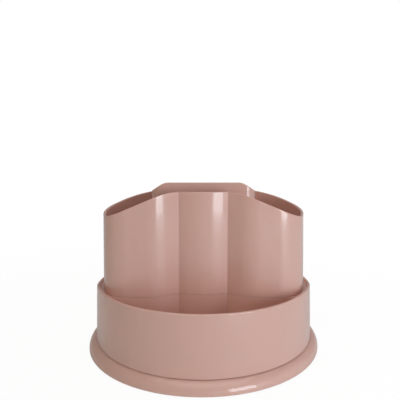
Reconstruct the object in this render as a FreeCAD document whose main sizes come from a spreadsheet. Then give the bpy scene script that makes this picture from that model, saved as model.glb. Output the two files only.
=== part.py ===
"""Rotating desk organizer: a lobed block of cups on a drum with an open tray and two drawers.

Units are millimetres.  Z is up, the desk is z = 0 and the turning axis is the Z axis.
The open tray faces -Y and the drawers slide out towards +Y.
"""
import FreeCAD
import Part
import Sketcher
import math
import os

from FreeCAD import Vector

# Driving dimensions: alias, value, meaning.
SIZES = (
    ("foot_flange", 6.7, "how far the foot stands out beyond the drum wall"),
    ("foot_height", 10.0, "top of the foot plate above the desk"),
    ("foot_shoulder", 8.4, "radius of the rounded flange"),
    ("foot_wall", 2.5, "thickness of the foot plate and of its skirt"),
    ("foot_lift", 1.0, "gap between the skirt and the desk"),
    ("rib_count", 8, "radial ribs under the foot plate"),
    ("rib_thickness", 2.0, "thickness of one foot rib"),
    ("rib_depth", 4.0, "height of a foot rib below the plate"),
    ("pad_count", 4, "rubber pads"),
    ("pad_radius", 7.5, "radius of a rubber pad"),
    ("pad_thickness", 2.0, "height of a rubber pad"),
    ("pad_inset", 19.0, "how far the middle of a pad lies inside the foot's edge"),
    ("pad_boss_wall", 1.0, "how far the boss above a pad is wider than the pad"),
    ("spindle_radius", 7.0, "radius of the spindle under the drum floor"),
    ("running_clearance", 0.05, "radial clearance of the spindle in its bush"),
    ("fixed_clearance", 0.05, "radial clearance of a fixed shank or sleeve in its hole"),
    ("bush_wall", 2.0, "thickness of the pivot bush"),
    ("bush_flange_radius", 13.0, "radius of the bush flange"),
    ("bush_flange", 1.2, "thickness of the bush flange"),
    ("bush_drop", 1.0, "how far the bush stands out below the foot plate"),
    ("axial_play", 0.2, "end play of the drum on its pivot"),
    ("washer_radius", 11.0, "radius of the pivot washer"),
    ("washer_thickness", 1.2, "thickness of the pivot washer"),
    ("pivot_shank_radius", 2.0, "shank radius of the pivot screw"),
    ("pivot_head_radius", 3.8, "head radius of the pivot screw"),
    ("pivot_head", 2.4, "head height of the pivot screw"),
    ("pivot_length", 9.0, "length of the pivot screw under its head"),
    ("ball_count", 16, "balls in the bearing"),
    ("ball_radius", 3.0, "radius of a ball"),
    ("race_radius", 60.0, "radius of the circle that the balls run on"),
    ("race_depth", 1.2, "depth of each ball groove"),
    ("race_clearance", 0.1, "clearance of a ball in its groove"),
    ("cage_width", 12.0, "radial width of the ball cage"),
    ("cage_thickness", 2.0, "thickness of the ball cage"),
    ("cage_clearance", 0.2, "clearance of a ball in its cage pocket"),
    ("drum_gap", 0.5, "running gap between the foot and the drum wall"),
    ("drum_foot_radius", 98.3, "outer radius of the drum wall at its lower edge"),
    ("drum_taper", 1.4, "how much narrower the drum wall is at its rim"),
    ("drum_wall", 2.5, "thickness of the drum wall and of the bulkhead"),
    ("drum_edge_round", 0.9, "rounding of the drum's upper edge"),
    ("lip_height", 4.7, "how far the drum wall stands above the deck around the tray"),
    ("curb_height", 1.3, "how far the drum wall stands above the deck behind the cups"),
    ("lip_fall_front", 44.0, "how far in front of the axis the drum wall starts to fall"),
    ("lip_fall_rear", 8.0, "how far behind the axis the drum wall is down to the curb"),
    ("floor_gap", 1.6, "gap between the drum floor and the wall around it"),
    ("floor_thickness", 2.5, "thickness of the drum floor"),
    ("tray_floor_height", 28.5, "top of the tray floor above the desk"),
    ("tray_floor_thickness", 2.5, "thickness of the tray floor"),
    ("deck_height", 54.0, "top of the deck that carries the cups"),
    ("deck_thickness", 2.5, "thickness of the deck"),
    ("centre_lobe_radius", 44.5, "plan radius of the middle lobe"),
    ("centre_lobe_front", 40.2, "how far the middle lobe reaches in front of the axis"),
    ("side_front", 46.3, "how far the flat front of a side lobe lies in front of the axis"),
    ("side_flat_start", 47.0, "sideways offset at which that flat front starts"),
    ("flank_round", 31.0, "rounding between a side lobe's flat front and its flank"),
    ("flank_angle", 33.0, "angle between a side lobe's flank and its flat front in degrees"),
    ("cup_setback", 6.0, "how far the cup block's round wall lies inside the drum wall"),
    ("cup_draft", 1.0, "draft angle of the cup block's round wall in degrees"),
    ("cup_wall", 2.4, "thickness of the cup walls"),
    ("cup_floor", 2.5, "thickness of the cup floor"),
    ("cup_corner_round", 24.0, "rounding of the two front corners of the cup block"),
    ("rim_front_height", 141.9, "height of the front rim at the middle"),
    ("rim_end_height", 118.3, "height of the front rim at its two ends"),
    ("rim_flat", 17.5, "half width of the level middle of the front rim"),
    ("rim_shoulder_radius", 55.0, "radius of the front rim beside its level middle"),
    ("rim_slope", 23.3, "steepest slope of the front rim in degrees"),
    ("rim_end_blend", 1.4, "softness of the change from the slope to the level ends"),
    ("rim_rear_height", 134.6, "height of the rear rim at the middle"),
    ("rim_rear_radius", 900.0, "crown radius of the rear rim"),
    ("well_half_width", 46.0, "outer half width of the tall well"),
    ("well_front", 19.2, "how far the tall well's front wall lies in front of the axis"),
    ("well_corner_round", 9.0, "rounding of the tall well's front corners"),
    ("well_height", 148.0, "height of the tall well's front wall"),
    ("well_flat", 31.0, "half width of the level top of the tall well"),
    ("well_fall_width", 21.0, "width of the S-shaped fall beside that level top"),
    ("well_fall", 9.6, "how far that fall drops over its whole width"),
    ("partition_height", 140.0, "height of the two short partitions"),
    ("divider_thickness", 3.2, "thickness of the divider between the drawers"),
    ("bay_half_width", 70.0, "outer edge of a drawer opening, from the middle"),
    ("opening_lintel", 0.5, "how far the drawer openings end below the deck's underside"),
    ("drawer_clearance", 0.4, "gap around a drawer front in its opening"),
    ("drawer_headroom", 2.7, "gap between a drawer's box and the screw heads above it"),
    ("drawer_back_gap", 1.0, "gap between a closed drawer's back and the bulkhead's groove"),
    ("drawer_wall", 2.0, "thickness of the drawer's walls and bottom"),
    ("pull_width", 30.0, "width of a drawer pull"),
    ("pull_reach", 6.0, "how far a drawer pull stands out from the drum"),
    ("pull_thickness", 4.0, "thickness of a drawer pull"),
    ("pull_height", 38.0, "underside of a drawer pull above the desk"),
    ("pull_round", 1.5, "rounding of a drawer pull"),
    ("guide_height", 5.0, "height of the drawer guides above the drum floor"),
    ("guide_thickness", 2.0, "thickness of a drawer guide"),
    ("guide_setback", 5.0, "how far a side guide ends inside the drum floor's edge"),
    ("stop_width", 40.0, "width of a drawer's back stop"),
    ("screw_radius", 1.5, "shank radius of the small screws"),
    ("screw_head_radius", 2.8, "head radius of the small screws"),
    ("screw_head", 1.8, "head height of the small screws"),
    ("screw_length", 8.0, "length of a small screw under its head"),
    ("screw_hole_slack", 0.3, "how far a through hole is wider than the shank"),
    ("boss_radius", 3.6, "outer radius of the screw bosses"),
    ("floor_screw_inset", 10.0, "how far the floor screws lie inside the drum floor's edge"),
    ("cup_screw_side", 66.0, "sideways offset of the cup screws"),
    ("cup_screw_front", 28.0, "how far the front cup screws lie in front of the axis"),
    ("cup_screw_rear", 42.0, "how far the rear cup screws lie behind the axis"),
)

# Turn that puts a round wall's seam at the rear, clear of the falling lip.
SEAM_BEHIND = FreeCAD.Rotation(Vector(0, 0, 1), 90)

# Compass angles of the floor screws in degrees: three under the tray, two on each side.
FLOOR_SCREW_ANGLES = (-135.0, -90.0, -45.0, -6.0, 24.0, 156.0, 186.0)

doc = FreeCAD.newDocument("desk_organizer")
sheet = doc.addObject("Spreadsheet::Sheet", "Sizes")
for row, (alias, number, meaning) in enumerate(SIZES, start=1):
    sheet.set(f"A{row}", meaning)
    sheet.set(f"B{row}", str(number))
    sheet.setAlias(f"B{row}", alias)
doc.recompute()


def formula(text):
    """Turns sheet aliases in a formula into references to the sheet."""
    return text.replace("<", "Sizes.").replace(">", "")


def value(text):
    """Number that a formula has at the sizes in the sheet."""
    return float(sheet.evalExpression(formula(text)))


# Heights above the desk that several pieces share.
BALL_CENTRE = "(<foot_height> + <ball_radius> + <race_clearance> - <race_depth>)"
FLOOR_UNDER = "(<foot_height> + 2 * (<ball_radius> + <race_clearance> - <race_depth>))"
FLOOR_TOP = f"({FLOOR_UNDER} + <floor_thickness>)"
PLATE_UNDER = "(<foot_height> - <foot_wall>)"
BUSH_UNDER = f"({PLATE_UNDER} - <bush_drop>)"
SPINDLE_END = f"({BUSH_UNDER} - <axial_play>)"
WASHER_UNDER = f"({SPINDLE_END} - <washer_thickness>)"
DRUM_BOTTOM = "(<foot_height> + <drum_gap>)"
DRUM_RIM = "(<deck_height> + <lip_height>)"
DRUM_HEIGHT = f"({DRUM_RIM} - {DRUM_BOTTOM})"
TRAY_UNDER = "(<tray_floor_height> - <tray_floor_thickness>)"
DECK_UNDER = "(<deck_height> - <deck_thickness>)"
CUP_TOP = "(<well_height> + <cup_wall>)"
CUP_HEIGHT = f"({CUP_TOP} - <deck_height>)"
OPENING_HEAD = f"({DECK_UNDER} - <opening_lintel>)"
DRAWER_BOTTOM = f"({FLOOR_TOP} + <drawer_clearance>)"
DRAWER_FRONT_TOP = f"({OPENING_HEAD} - <drawer_clearance>)"
DRAWER_SIDE_TOP = f"({DECK_UNDER} - <screw_head> - <drawer_headroom>)"

# Widths and radii that several pieces share.
FOOT_RADIUS = "(<drum_foot_radius> + <foot_flange>)"
PAD_CIRCLE = f"({FOOT_RADIUS} - <pad_inset>)"


def drum_radius(height, inset="0"):
    """Radius of the tapered drum wall at a height, less an inset."""
    return f"(<drum_foot_radius> - <drum_taper> * (({height}) - {DRUM_BOTTOM}) / {DRUM_HEIGHT} - ({inset}))"


FLOOR_RADIUS = f"({drum_radius(FLOOR_TOP, '<drum_wall>')} - <floor_gap>)"
FLOOR_SCREW_CIRCLE = f"({FLOOR_RADIUS} - <floor_screw_inset>)"
CUP_FOOT_RADIUS = f"({drum_radius('<deck_height>')} - <cup_setback>)"


def flank_end(inset):
    """Point where the right-hand side lobe's flank starts, drawn in by an inset."""
    bend = f"(<flank_round> - ({inset}))"
    return (f"(<side_flat_start> - {bend} * sin(<flank_angle> * 1deg))",
            f"(<flank_round> - <side_front> - {bend} * cos(<flank_angle> * 1deg))")


def groove(inset):
    """Point where that flank meets the middle lobe, drawn in by an inset."""
    start_x, start_y = flank_end(inset)
    off_y = f"({start_y} - <centre_lobe_radius> + <centre_lobe_front>)"
    sine, cosine = "sin(<flank_angle> * 1deg)", "cos(<flank_angle> * 1deg)"
    along = f"({start_x} * {cosine} - {off_y} * {sine})"
    across = f"({start_x} * {sine} + {off_y} * {cosine})"
    step = f"({along} - sqrt((<centre_lobe_radius> - ({inset}))^2 - {across}^2))"
    return f"({start_x} - {step} * {cosine})", f"({start_y} + {step} * {sine})"


DRAWER_BACK = f"({groove('<drum_wall>')[1]} + <drawer_back_gap>)"
DRAWER_INNER = "(<divider_thickness> / 2 + <drawer_clearance>)"
DRAWER_WIDTH = f"(<bay_half_width> - <drawer_clearance> - {DRAWER_INNER})"


def make(kind, name, at=("0", "0", "0"), **sizes):
    """Part primitive whose sizes and place are bound to the sheet."""
    thing = doc.addObject(kind, name)
    for prop, text in sizes.items():
        thing.setExpression(prop, formula(text))
    for axis, text in zip("xyz", at):
        thing.setExpression(f"Placement.Base.{axis}", formula(text))
    return thing


def cylinder(name, radius, height, at=("0", "0", "0")):
    """Upright cylinder standing on the given point."""
    return make("Part::Cylinder", name, at, Radius=radius, Height=height)


def cone(name, lower, upper, height, base):
    """Upright frustum on the turning axis."""
    return make("Part::Cone", name, ("0", "0", base), Radius1=lower, Radius2=upper, Height=height)


def box(name, low, high):
    """Box between two corners given as formulas."""
    spans = [f"({top}) - ({bottom})" for bottom, top in zip(low, high)]
    return make("Part::Box", name, low, Length=spans[0], Width=spans[1], Height=spans[2])


def fuse(name, *shapes):
    """Union of several shapes."""
    thing = doc.addObject("Part::MultiFuse", name)
    thing.Shapes = list(shapes)
    return thing


def common(name, *shapes):
    """Space that several shapes share."""
    thing = doc.addObject("Part::MultiCommon", name)
    thing.Shapes = list(shapes)
    return thing


def cut(name, base, *tools):
    """Base less all the tools."""
    tool = tools[0] if len(tools) == 1 else fuse(f"{name}_tools", *tools)
    thing = doc.addObject("Part::Cut", name)
    thing.Base = base
    thing.Tool = tool
    return thing


def group(name, *shapes):
    """Separate solids kept together in one sub-part."""
    thing = doc.addObject("Part::Compound", name)
    thing.Links = list(shapes)
    return thing


def dress(kind, name, base, radius, wanted):
    """Fillet or chamfer on the edges whose midpoint is wanted."""
    doc.recompute()
    size = value(radius)
    chosen = []
    for number, edge in enumerate(base.Shape.Edges, start=1):
        middle = edge.valueAt((edge.FirstParameter + edge.LastParameter) / 2)
        if wanted(edge, middle):
            chosen.append((number, size, size))
    thing = doc.addObject(kind, name)
    thing.Base = base
    thing.Edges = chosen
    return thing


def is_upright(edge):
    """Whether an edge rises more than it runs sideways."""
    ends = edge.Vertexes
    if len(ends) < 2:
        return False
    rise = ends[1].Point - ends[0].Point
    return abs(rise.z) > math.hypot(rise.x, rise.y)


def origin_plane(body, role):
    """One of a body's own origin planes."""
    return next(plane for plane in body.Origin.OriginFeatures if plane.Role == role)


def profile(body, name, role, corners, arcs=None):
    """Closed sketch through corners given as formula pairs; arcs maps an edge to (radius, centre)."""
    arcs = arcs or {}
    sketch = body.newObject("Sketcher::SketchObject", name)
    sketch.AttachmentSupport = [(origin_plane(body, role), "")]
    sketch.MapMode = "FlatFace"
    points = [Vector(value(x), value(y), 0) for x, y in corners]
    count = len(points)
    for index, start in enumerate(points):
        end = points[(index + 1) % count]
        if index in arcs:
            middle = Vector(value(arcs[index][1][0]), value(arcs[index][1][1]), 0)
            reach = (start - middle).Length
            bisector = ((start - middle).normalize() + (end - middle).normalize()).normalize()
            turns_left = (start - middle).cross(end - middle).z > 0
            first, last = (start, end) if turns_left else (end, start)
            sketch.addGeometry(Part.Arc(first, middle + bisector * reach, last), False)
        else:
            sketch.addGeometry(Part.LineSegment(start, end), False)
    link_corners(sketch, points, arcs)
    for index, pair in enumerate(corners):
        pin_corner(sketch, index, start_position(sketch, index, points[index]), pair)
    for index, (radius, _centre) in arcs.items():
        number = sketch.addConstraint(Sketcher.Constraint("Radius", index, value(radius)))
        sketch.setExpression(f"Constraints[{number}]", formula(radius))
    return sketch


def start_position(sketch, index, point):
    """Sketcher's number (1 or 2) for the end of an edge that lies on a point."""
    edge = sketch.Geometry[index]
    return 1 if (edge.StartPoint - point).Length < (edge.EndPoint - point).Length else 2


def link_corners(sketch, points, arcs):
    """Joins each edge of a closed sketch to the next one."""
    count = len(points)
    for index in range(count):
        after = (index + 1) % count
        here = start_position(sketch, index, points[after])
        there = start_position(sketch, after, points[after])
        sketch.addConstraint(Sketcher.Constraint("Coincident", index, here, after, there))


def pin_corner(sketch, index, end, pair):
    """Binds a corner's two distances from the sketch origin to the sheet."""
    for kind, text in zip(("DistanceX", "DistanceY"), pair):
        number = sketch.addConstraint(Sketcher.Constraint(kind, -1, 1, index, end, value(text)))
        sketch.setExpression(f"Constraints[{number}]", formula(text))


def disc(body, name, radius, at):
    """Sketch of one circle on the body's XY plane, its centre given as a formula pair."""
    sketch = body.newObject("Sketcher::SketchObject", name)
    sketch.AttachmentSupport = [(origin_plane(body, "XY_Plane"), "")]
    sketch.MapMode = "FlatFace"
    centre = Vector(value(at[0]), value(at[1]), 0)
    sketch.addGeometry(Part.Circle(centre, Vector(0, 0, 1), value(radius)), False)
    number = sketch.addConstraint(Sketcher.Constraint("Radius", 0, value(radius)))
    sketch.setExpression(f"Constraints[{number}]", formula(radius))
    for kind, text in zip(("DistanceX", "DistanceY"), at):
        if text == "0":
            axis = -2 if kind == "DistanceX" else -1
            sketch.addConstraint(Sketcher.Constraint("PointOnObject", 0, 3, axis))
        else:
            number = sketch.addConstraint(Sketcher.Constraint(kind, -1, 1, 0, 3, value(text)))
            sketch.setExpression(f"Constraints[{number}]", formula(text))
    return sketch


def revolve(body, name, sketch):
    """Full turn of a sketch about its own vertical axis."""
    feature = body.newObject("PartDesign::Revolution", name)
    feature.Profile = sketch
    feature.ReferenceAxis = (sketch, ["V_Axis"])
    feature.Angle = 360.0
    return feature


def pad(body, name, sketch, low, height):
    """Upright pad of a sketch from a height given as a formula."""
    sketch.setExpression("AttachmentOffset.Base.z", formula(low))
    feature = body.newObject("PartDesign::Pad", name)
    feature.Profile = sketch
    feature.setExpression("Length", formula(height))
    return feature


def around(body, name, feature, count):
    """Copies a feature evenly about the turning axis."""
    pattern = body.newObject("PartDesign::PolarPattern", name)
    pattern.Originals = [feature]
    pattern.Axis = (next(a for a in body.Origin.OriginFeatures if a.Role == "Z_Axis"), [""])
    pattern.Angle = 360.0
    pattern.setExpression("Occurrences", formula(count))
    body.Tip = pattern
    return pattern


def polar(radius, angle):
    """Formula pair of a point on a circle about the turning axis."""
    return f"({radius}) * cos({angle} * 1deg)", f"({radius}) * sin({angle} * 1deg)"


# --- Foot: plate, skirt and rounded flange in one moulding, with ribs and pad bosses below.
RIM_INSIDE = f"({FOOT_RADIUS} - <foot_wall>)"
SHOULDER_INSIDE = f"({FOOT_RADIUS} - <foot_shoulder>)"
SHOULDER_LEVEL = "(<foot_height> - <foot_shoulder>)"
BUSH_RADIUS = "(<spindle_radius> + <running_clearance> + <bush_wall>)"
BUSH_HOLE = f"({BUSH_RADIUS} + <fixed_clearance>)"
PAD_BOSS = "(<pad_radius> + <pad_boss_wall>)"


def build_foot():
    """Foot plate that stays still on the desk."""
    body = doc.addObject("PartDesign::Body", "foot_blank")
    corners = [
        (BUSH_HOLE, PLATE_UNDER),
        (SHOULDER_INSIDE, PLATE_UNDER),
        (RIM_INSIDE, SHOULDER_LEVEL),
        (RIM_INSIDE, "<foot_lift>"),
        (FOOT_RADIUS, "<foot_lift>"),
        (FOOT_RADIUS, SHOULDER_LEVEL),
        (SHOULDER_INSIDE, "<foot_height>"),
        (BUSH_HOLE, "<foot_height>"),
    ]
    shoulder_axis = (SHOULDER_INSIDE, SHOULDER_LEVEL)
    arcs = {1: ("(<foot_shoulder> - <foot_wall>)", shoulder_axis), 5: ("<foot_shoulder>", shoulder_axis)}
    revolve(body, "foot_turn", profile(body, "foot_profile", "XZ_Plane", corners, arcs))
    boss = pad(body, "pad_boss", disc(body, "pad_boss_disc", PAD_BOSS, (PAD_CIRCLE, "0")),
               "<pad_thickness>", f"{PLATE_UNDER} - <pad_thickness>")
    around(body, "pad_bosses", boss, "<pad_count>")
    inner, outer = BUSH_HOLE, f"({SHOULDER_INSIDE} + <foot_wall>)"
    half = "(<rib_thickness> / 2)"
    low = f"({PLATE_UNDER} - <rib_depth>)"
    rib_corners = [(inner, f"-{half}"), (outer, f"-{half}"), (outer, half), (inner, half)]
    rib = pad(body, "rib", profile(body, "rib_outline", "XY_Plane", rib_corners), low, "<rib_depth>")
    around(body, "ribs", rib, "<rib_count>")
    race = make("Part::Torus", "lower_race", ("0", "0", BALL_CENTRE),
                Radius1="<race_radius>", Radius2="<ball_radius> + <race_clearance>")
    washer_room = cylinder("washer_room", "<washer_radius> + <foot_wall>", "<rib_depth>", ("0", "0", low))
    return cut("foot_base", body, race, washer_room)


def ring_places(radius, angles):
    """Formula pairs of points at several compass angles on one circle."""
    return [polar(radius, angle) for angle in angles]


def even_angles(count):
    """Formulas for evenly spaced compass angles, starting at zero."""
    return [f"({index} * 360 / {count})" for index in range(int(value(count)))]


def build_pads():
    """Rubber pads under the foot's bosses."""
    pads = []
    for index, place in enumerate(ring_places(PAD_CIRCLE, even_angles("<pad_count>"))):
        pads.append(cylinder(f"pad_{index}", "<pad_radius>", "<pad_thickness>", (*place, "0")))
    return group("rubber_feet", *pads)


# --- Pivot and ball bearing between the foot and the drum.
SPINDLE_LENGTH = f"({FLOOR_UNDER} - {SPINDLE_END})"
PIVOT_TIP = f"({WASHER_UNDER} + <pivot_length>)"


def build_bush():
    """Flanged bush that lines the foot's bore."""
    sleeve = cylinder("bush_sleeve", BUSH_RADIUS, f"<foot_height> - {BUSH_UNDER}", ("0", "0", BUSH_UNDER))
    flange = cylinder("bush_collar", "<bush_flange_radius>", "<bush_flange>", ("0", "0", "<foot_height>"))
    bore = cylinder("bush_bore", "<spindle_radius> + <running_clearance>",
                    f"<foot_height> + <bush_flange> - {BUSH_UNDER}", ("0", "0", BUSH_UNDER))
    return cut("pivot_bush", fuse("bush_blank", sleeve, flange), bore)


def build_washer():
    """Washer that keeps the spindle in its bush."""
    disc_shape = cylinder("washer_disc", "<washer_radius>", "<washer_thickness>", ("0", "0", WASHER_UNDER))
    hole = cylinder("washer_hole", "<pivot_shank_radius> + <screw_hole_slack>", "<washer_thickness>",
                    ("0", "0", WASHER_UNDER))
    return cut("pivot_washer", disc_shape, hole)


def screw(name, at, seat, shank, length, head_radius, head):
    """Cross-head screw driven upwards, its head under the seat height."""
    head_under = f"({seat} - {head})"
    body = fuse(f"{name}_blank",
                cylinder(f"{name}_shank", shank, length, (*at, seat)),
                cylinder(f"{name}_head", head_radius, head, (*at, head_under)))
    slots = []
    for tag, along, across in (("x", "0.65", "0.15"), ("y", "0.15", "0.65")):
        half_x, half_y = f"({along} * {head_radius})", f"({across} * {head_radius})"
        slots.append(box(f"{name}_slot_{tag}",
                         (f"{at[0]} - {half_x}", f"{at[1]} - {half_y}", head_under),
                         (f"{at[0]} + {half_x}", f"{at[1]} + {half_y}", f"{head_under} + {head} / 2")))
    return cut(name, body, *slots)


def build_pivot_screw():
    """Screw up the middle of the spindle."""
    return screw("pivot_screw", ("0", "0"), WASHER_UNDER, "<pivot_shank_radius>", "<pivot_length>",
                 "<pivot_head_radius>", "<pivot_head>")


def bearing_spheres(name, radius):
    """One sphere at each ball's place in the race."""
    spheres = []
    for index, place in enumerate(ring_places("<race_radius>", even_angles("<ball_count>"))):
        spheres.append(make("Part::Sphere", f"{name}_{index}", (*place, BALL_CENTRE), Radius=radius))
    return spheres


def build_cage():
    """Flat ring with a pocket for each ball."""
    low = f"({BALL_CENTRE} - <cage_thickness> / 2)"
    outside, inside = (cylinder(f"cage_{tag}", f"<race_radius> {sign} <cage_width> / 2",
                                "<cage_thickness>", ("0", "0", low))
                       for tag, sign in (("outside", "+"), ("inside", "-")))
    ring = cut("cage_ring", outside, inside)
    pockets = bearing_spheres("pocket", "<ball_radius> + <cage_clearance>")
    return cut("ball_cage", ring, *pockets)


# --- Lobed plan shared by the cup block, the bulkhead and the tray.
def mirrored(pair):
    """The same point on the left-hand side."""
    return f"-{pair[0]}", pair[1]


def lobes(name, inset, low, height):
    """Upright solid behind the three lobes, drawn in by the inset."""
    body = doc.addObject("PartDesign::Body", name)
    front = f"(({inset}) - <side_front>)"
    flat, reach = ("<side_flat_start>", front), (FOOT_RADIUS, front)
    half = [groove(inset), flank_end(inset), flat, reach, (FOOT_RADIUS, FOOT_RADIUS)]
    corners = half + [mirrored(pair) for pair in reversed(half)]
    bend_axis = ("<side_flat_start>", "(<flank_round> - <side_front>)")
    bend = f"(<flank_round> - ({inset}))"
    arcs = {
        1: (bend, bend_axis),
        7: (bend, mirrored(bend_axis)),
        9: (f"(<centre_lobe_radius> - ({inset}))", ("0", "(<centre_lobe_radius> - <centre_lobe_front>)")),
    }
    pad(body, f"{name}_pad", profile(body, f"{name}_profile", "XY_Plane", corners, arcs), low, height)
    return body


def drum_cone(name, low, high, inset="0"):
    """Tapered solid of the drum between two heights."""
    return cone(name, drum_radius(low, inset), drum_radius(high, inset), f"({high}) - ({low})", low)


# --- Drum: wall, tray floor, bulkhead, deck and divider in one moulding.
FLOOR_SCREW_HOLE = "(<screw_radius> + <screw_hole_slack>)"
SCREW_PILOT = "(<screw_radius> + <fixed_clearance>)"
CUP_SCREW_PLACES = tuple((f"{side}<cup_screw_side>", row)
                         for side in ("-", "") for row in ("-<cup_screw_front>", "<cup_screw_rear>"))


def build_lip_fall():
    """Space above the drum wall, which falls in two equal bends from the tray's lip to the curb."""
    body = doc.addObject("PartDesign::Body", "lip_fall")
    front, rear = "-<lip_fall_front>", "<lip_fall_rear>"
    curb, fall = "(<deck_height> + <curb_height>)", "(<lip_height> - <curb_height>)"
    bend = f"(((<lip_fall_front> + <lip_fall_rear>)^2 + {fall}^2) / (4 * {fall}))"
    over = f"({DRUM_RIM} + <drum_wall>)"
    corners = [
        (front, DRUM_RIM),
        (f"({rear} - <lip_fall_front>) / 2", f"{curb} + {fall} / 2"),
        (rear, curb),
        (FOOT_RADIUS, curb),
        (FOOT_RADIUS, over),
        (front, over),
    ]
    arcs = {0: (bend, (front, f"{DRUM_RIM} - {bend}")), 1: (bend, (rear, f"{curb} + {bend}"))}
    pad(body, "lip_fall_pad", profile(body, "lip_fall_profile", "YZ_Plane", corners, arcs),
        f"-{FOOT_RADIUS}", f"2 * {FOOT_RADIUS}")
    return body


def build_drum_shell():
    """Drum open at the front as a tray and at the rear for the drawers."""
    inset = "<drum_wall>"
    rounds = [drum_cone("drum_round", DRUM_BOTTOM, DRUM_RIM),
              drum_cone("above_deck", "<deck_height>", DRUM_RIM, inset)]
    for shape in rounds:
        shape.Placement.Rotation = SEAM_BEHIND
    blank = cut("drum_blank", *rounds, build_lip_fall())
    lowest = value("<deck_height> + <curb_height> / 2")
    inside = value(f"<drum_foot_radius> - <drum_taper> - 2 * {inset}")

    def at_rim(edge, at):
        return at.z > lowest and math.hypot(at.x, at.y) > inside and not is_upright(edge)

    rounded = dress("Part::Fillet", "drum_rounded", blank, "<drum_edge_round>", at_rim)
    tray_floor = "<tray_floor_height>"
    front_space = cut("tray_space", drum_cone("tray_reach", tray_floor, "<deck_height>", inset),
                      lobes("bulkhead_front", "0", tray_floor, f"<deck_height> - {tray_floor}"))
    bay = common("drawer_bay", drum_cone("bay_reach", TRAY_UNDER, DECK_UNDER, inset),
                 lobes("bulkhead_back", inset, TRAY_UNDER, f"{DECK_UNDER} - {TRAY_UNDER}"))
    below = drum_cone("below_tray", DRUM_BOTTOM, TRAY_UNDER, inset)
    openings = [drawer_block(f"opening_{side}", side, "0", "0", "<drum_wall>", FLOOR_TOP,
                             OPENING_HEAD) for side in ("left", "right")]
    shell = cut("drum_walls", rounded, front_space, bay, below, *openings)
    divider = box("drawer_divider",
                  ("-<divider_thickness> / 2", "-<centre_lobe_front> + <drum_wall> / 2", FLOOR_TOP),
                  ("<divider_thickness> / 2", drum_radius(DECK_UNDER, "<drum_wall> / 2"), DECK_UNDER))
    bosses, pilots = [], []
    for index, (angle, place) in enumerate(zip(FLOOR_SCREW_ANGLES,
                                               ring_places(FLOOR_SCREW_CIRCLE, FLOOR_SCREW_ANGLES))):
        ceiling = TRAY_UNDER if -180.0 < angle < -30.0 else DECK_UNDER
        bosses.append(cylinder(f"floor_boss_{index}", "<boss_radius>", f"{ceiling} - {FLOOR_TOP}",
                               (*place, FLOOR_TOP)))
        pilots.append(cylinder(f"floor_pilot_{index}", SCREW_PILOT, "<screw_length>", (*place, FLOOR_TOP)))
    holes = [cylinder(f"deck_hole_{index}", FLOOR_SCREW_HOLE, "<deck_thickness>", (*place, DECK_UNDER))
             for index, place in enumerate(CUP_SCREW_PLACES)]
    return cut("drum_shell", fuse("drum_full", shell, divider, *bosses), *pilots, *holes)


def build_drum_floor():
    """Bottom plate with the spindle, the upper race, the drawer guides and the back stops."""
    plate = cylinder("floor_plate", FLOOR_RADIUS, "<floor_thickness>", ("0", "0", FLOOR_UNDER))
    spindle = cylinder("spindle", "<spindle_radius>", SPINDLE_LENGTH, ("0", "0", SPINDLE_END))
    top = f"({FLOOR_TOP} + <guide_height>)"
    guides = []
    guide_outside = "(<bay_half_width> + <guide_thickness>)"
    guide_end = f"(sqrt({FLOOR_RADIUS}^2 - {guide_outside}^2) - <guide_setback>)"
    for side, sign in (("left", "-"), ("right", "")):
        ends = [f"{sign}<bay_half_width>", f"{sign}{guide_outside}"]
        low, high = reversed(ends) if sign else ends
        guides.append(box(f"guide_{side}", (low, DRAWER_BACK, FLOOR_TOP), (high, guide_end, top)))
        middle = f"{sign}({DRAWER_INNER} + {DRAWER_WIDTH} / 2)"
        stop_rear = f"({DRAWER_BACK} - <drawer_clearance>)"
        guides.append(box(f"stop_{side}",
                          (f"{middle} - <stop_width> / 2", f"{stop_rear} - <guide_thickness>", FLOOR_TOP),
                          (f"{middle} + <stop_width> / 2", stop_rear, top)))
    race = make("Part::Torus", "upper_race", ("0", "0", BALL_CENTRE),
                Radius1="<race_radius>", Radius2="<ball_radius> + <race_clearance>")
    pivot_pilot = cylinder("pivot_pilot", "<pivot_shank_radius> + <fixed_clearance>",
                           f"{PIVOT_TIP} - {SPINDLE_END}", ("0", "0", SPINDLE_END))
    holes = [cylinder(f"floor_hole_{index}", FLOOR_SCREW_HOLE, "<floor_thickness>", (*place, FLOOR_UNDER))
             for index, place in enumerate(ring_places(FLOOR_SCREW_CIRCLE, FLOOR_SCREW_ANGLES))]
    return cut("drum_floor", fuse("floor_full", plate, spindle, *guides), race, pivot_pilot, *holes)


def build_floor_screws():
    """Screws up through the drum floor into the drum's bosses."""
    places = ring_places(FLOOR_SCREW_CIRCLE, FLOOR_SCREW_ANGLES)
    return group("floor_screws", *(
        screw(f"floor_screw_{index}", place, FLOOR_UNDER, "<screw_radius>", "<screw_length>",
              "<screw_head_radius>", "<screw_head>") for index, place in enumerate(places)))


def build_cup_screws():
    """Screws up through the deck into the cup block."""
    return group("cup_screws", *(
        screw(f"cup_screw_{index}", place, DECK_UNDER, "<screw_radius>", "<screw_length>",
              "<screw_head_radius>", "<screw_head>") for index, place in enumerate(CUP_SCREW_PLACES)))


# --- Drawers.
def drawer_block(name, side, gap, wall, back_gap, low, high):
    """Block of one drawer's plan, drawn in by a gap and a wall, from its back end outwards."""
    inner = f"(<divider_thickness> / 2 + {gap} + {wall})"
    outer = f"(<bay_half_width> - {gap} - {wall})"
    near, far = (f"-{outer}", f"-{inner}") if side == "left" else (inner, outer)
    return box(name, (near, back_gap, low), (far, FOOT_RADIUS, high))


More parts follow.
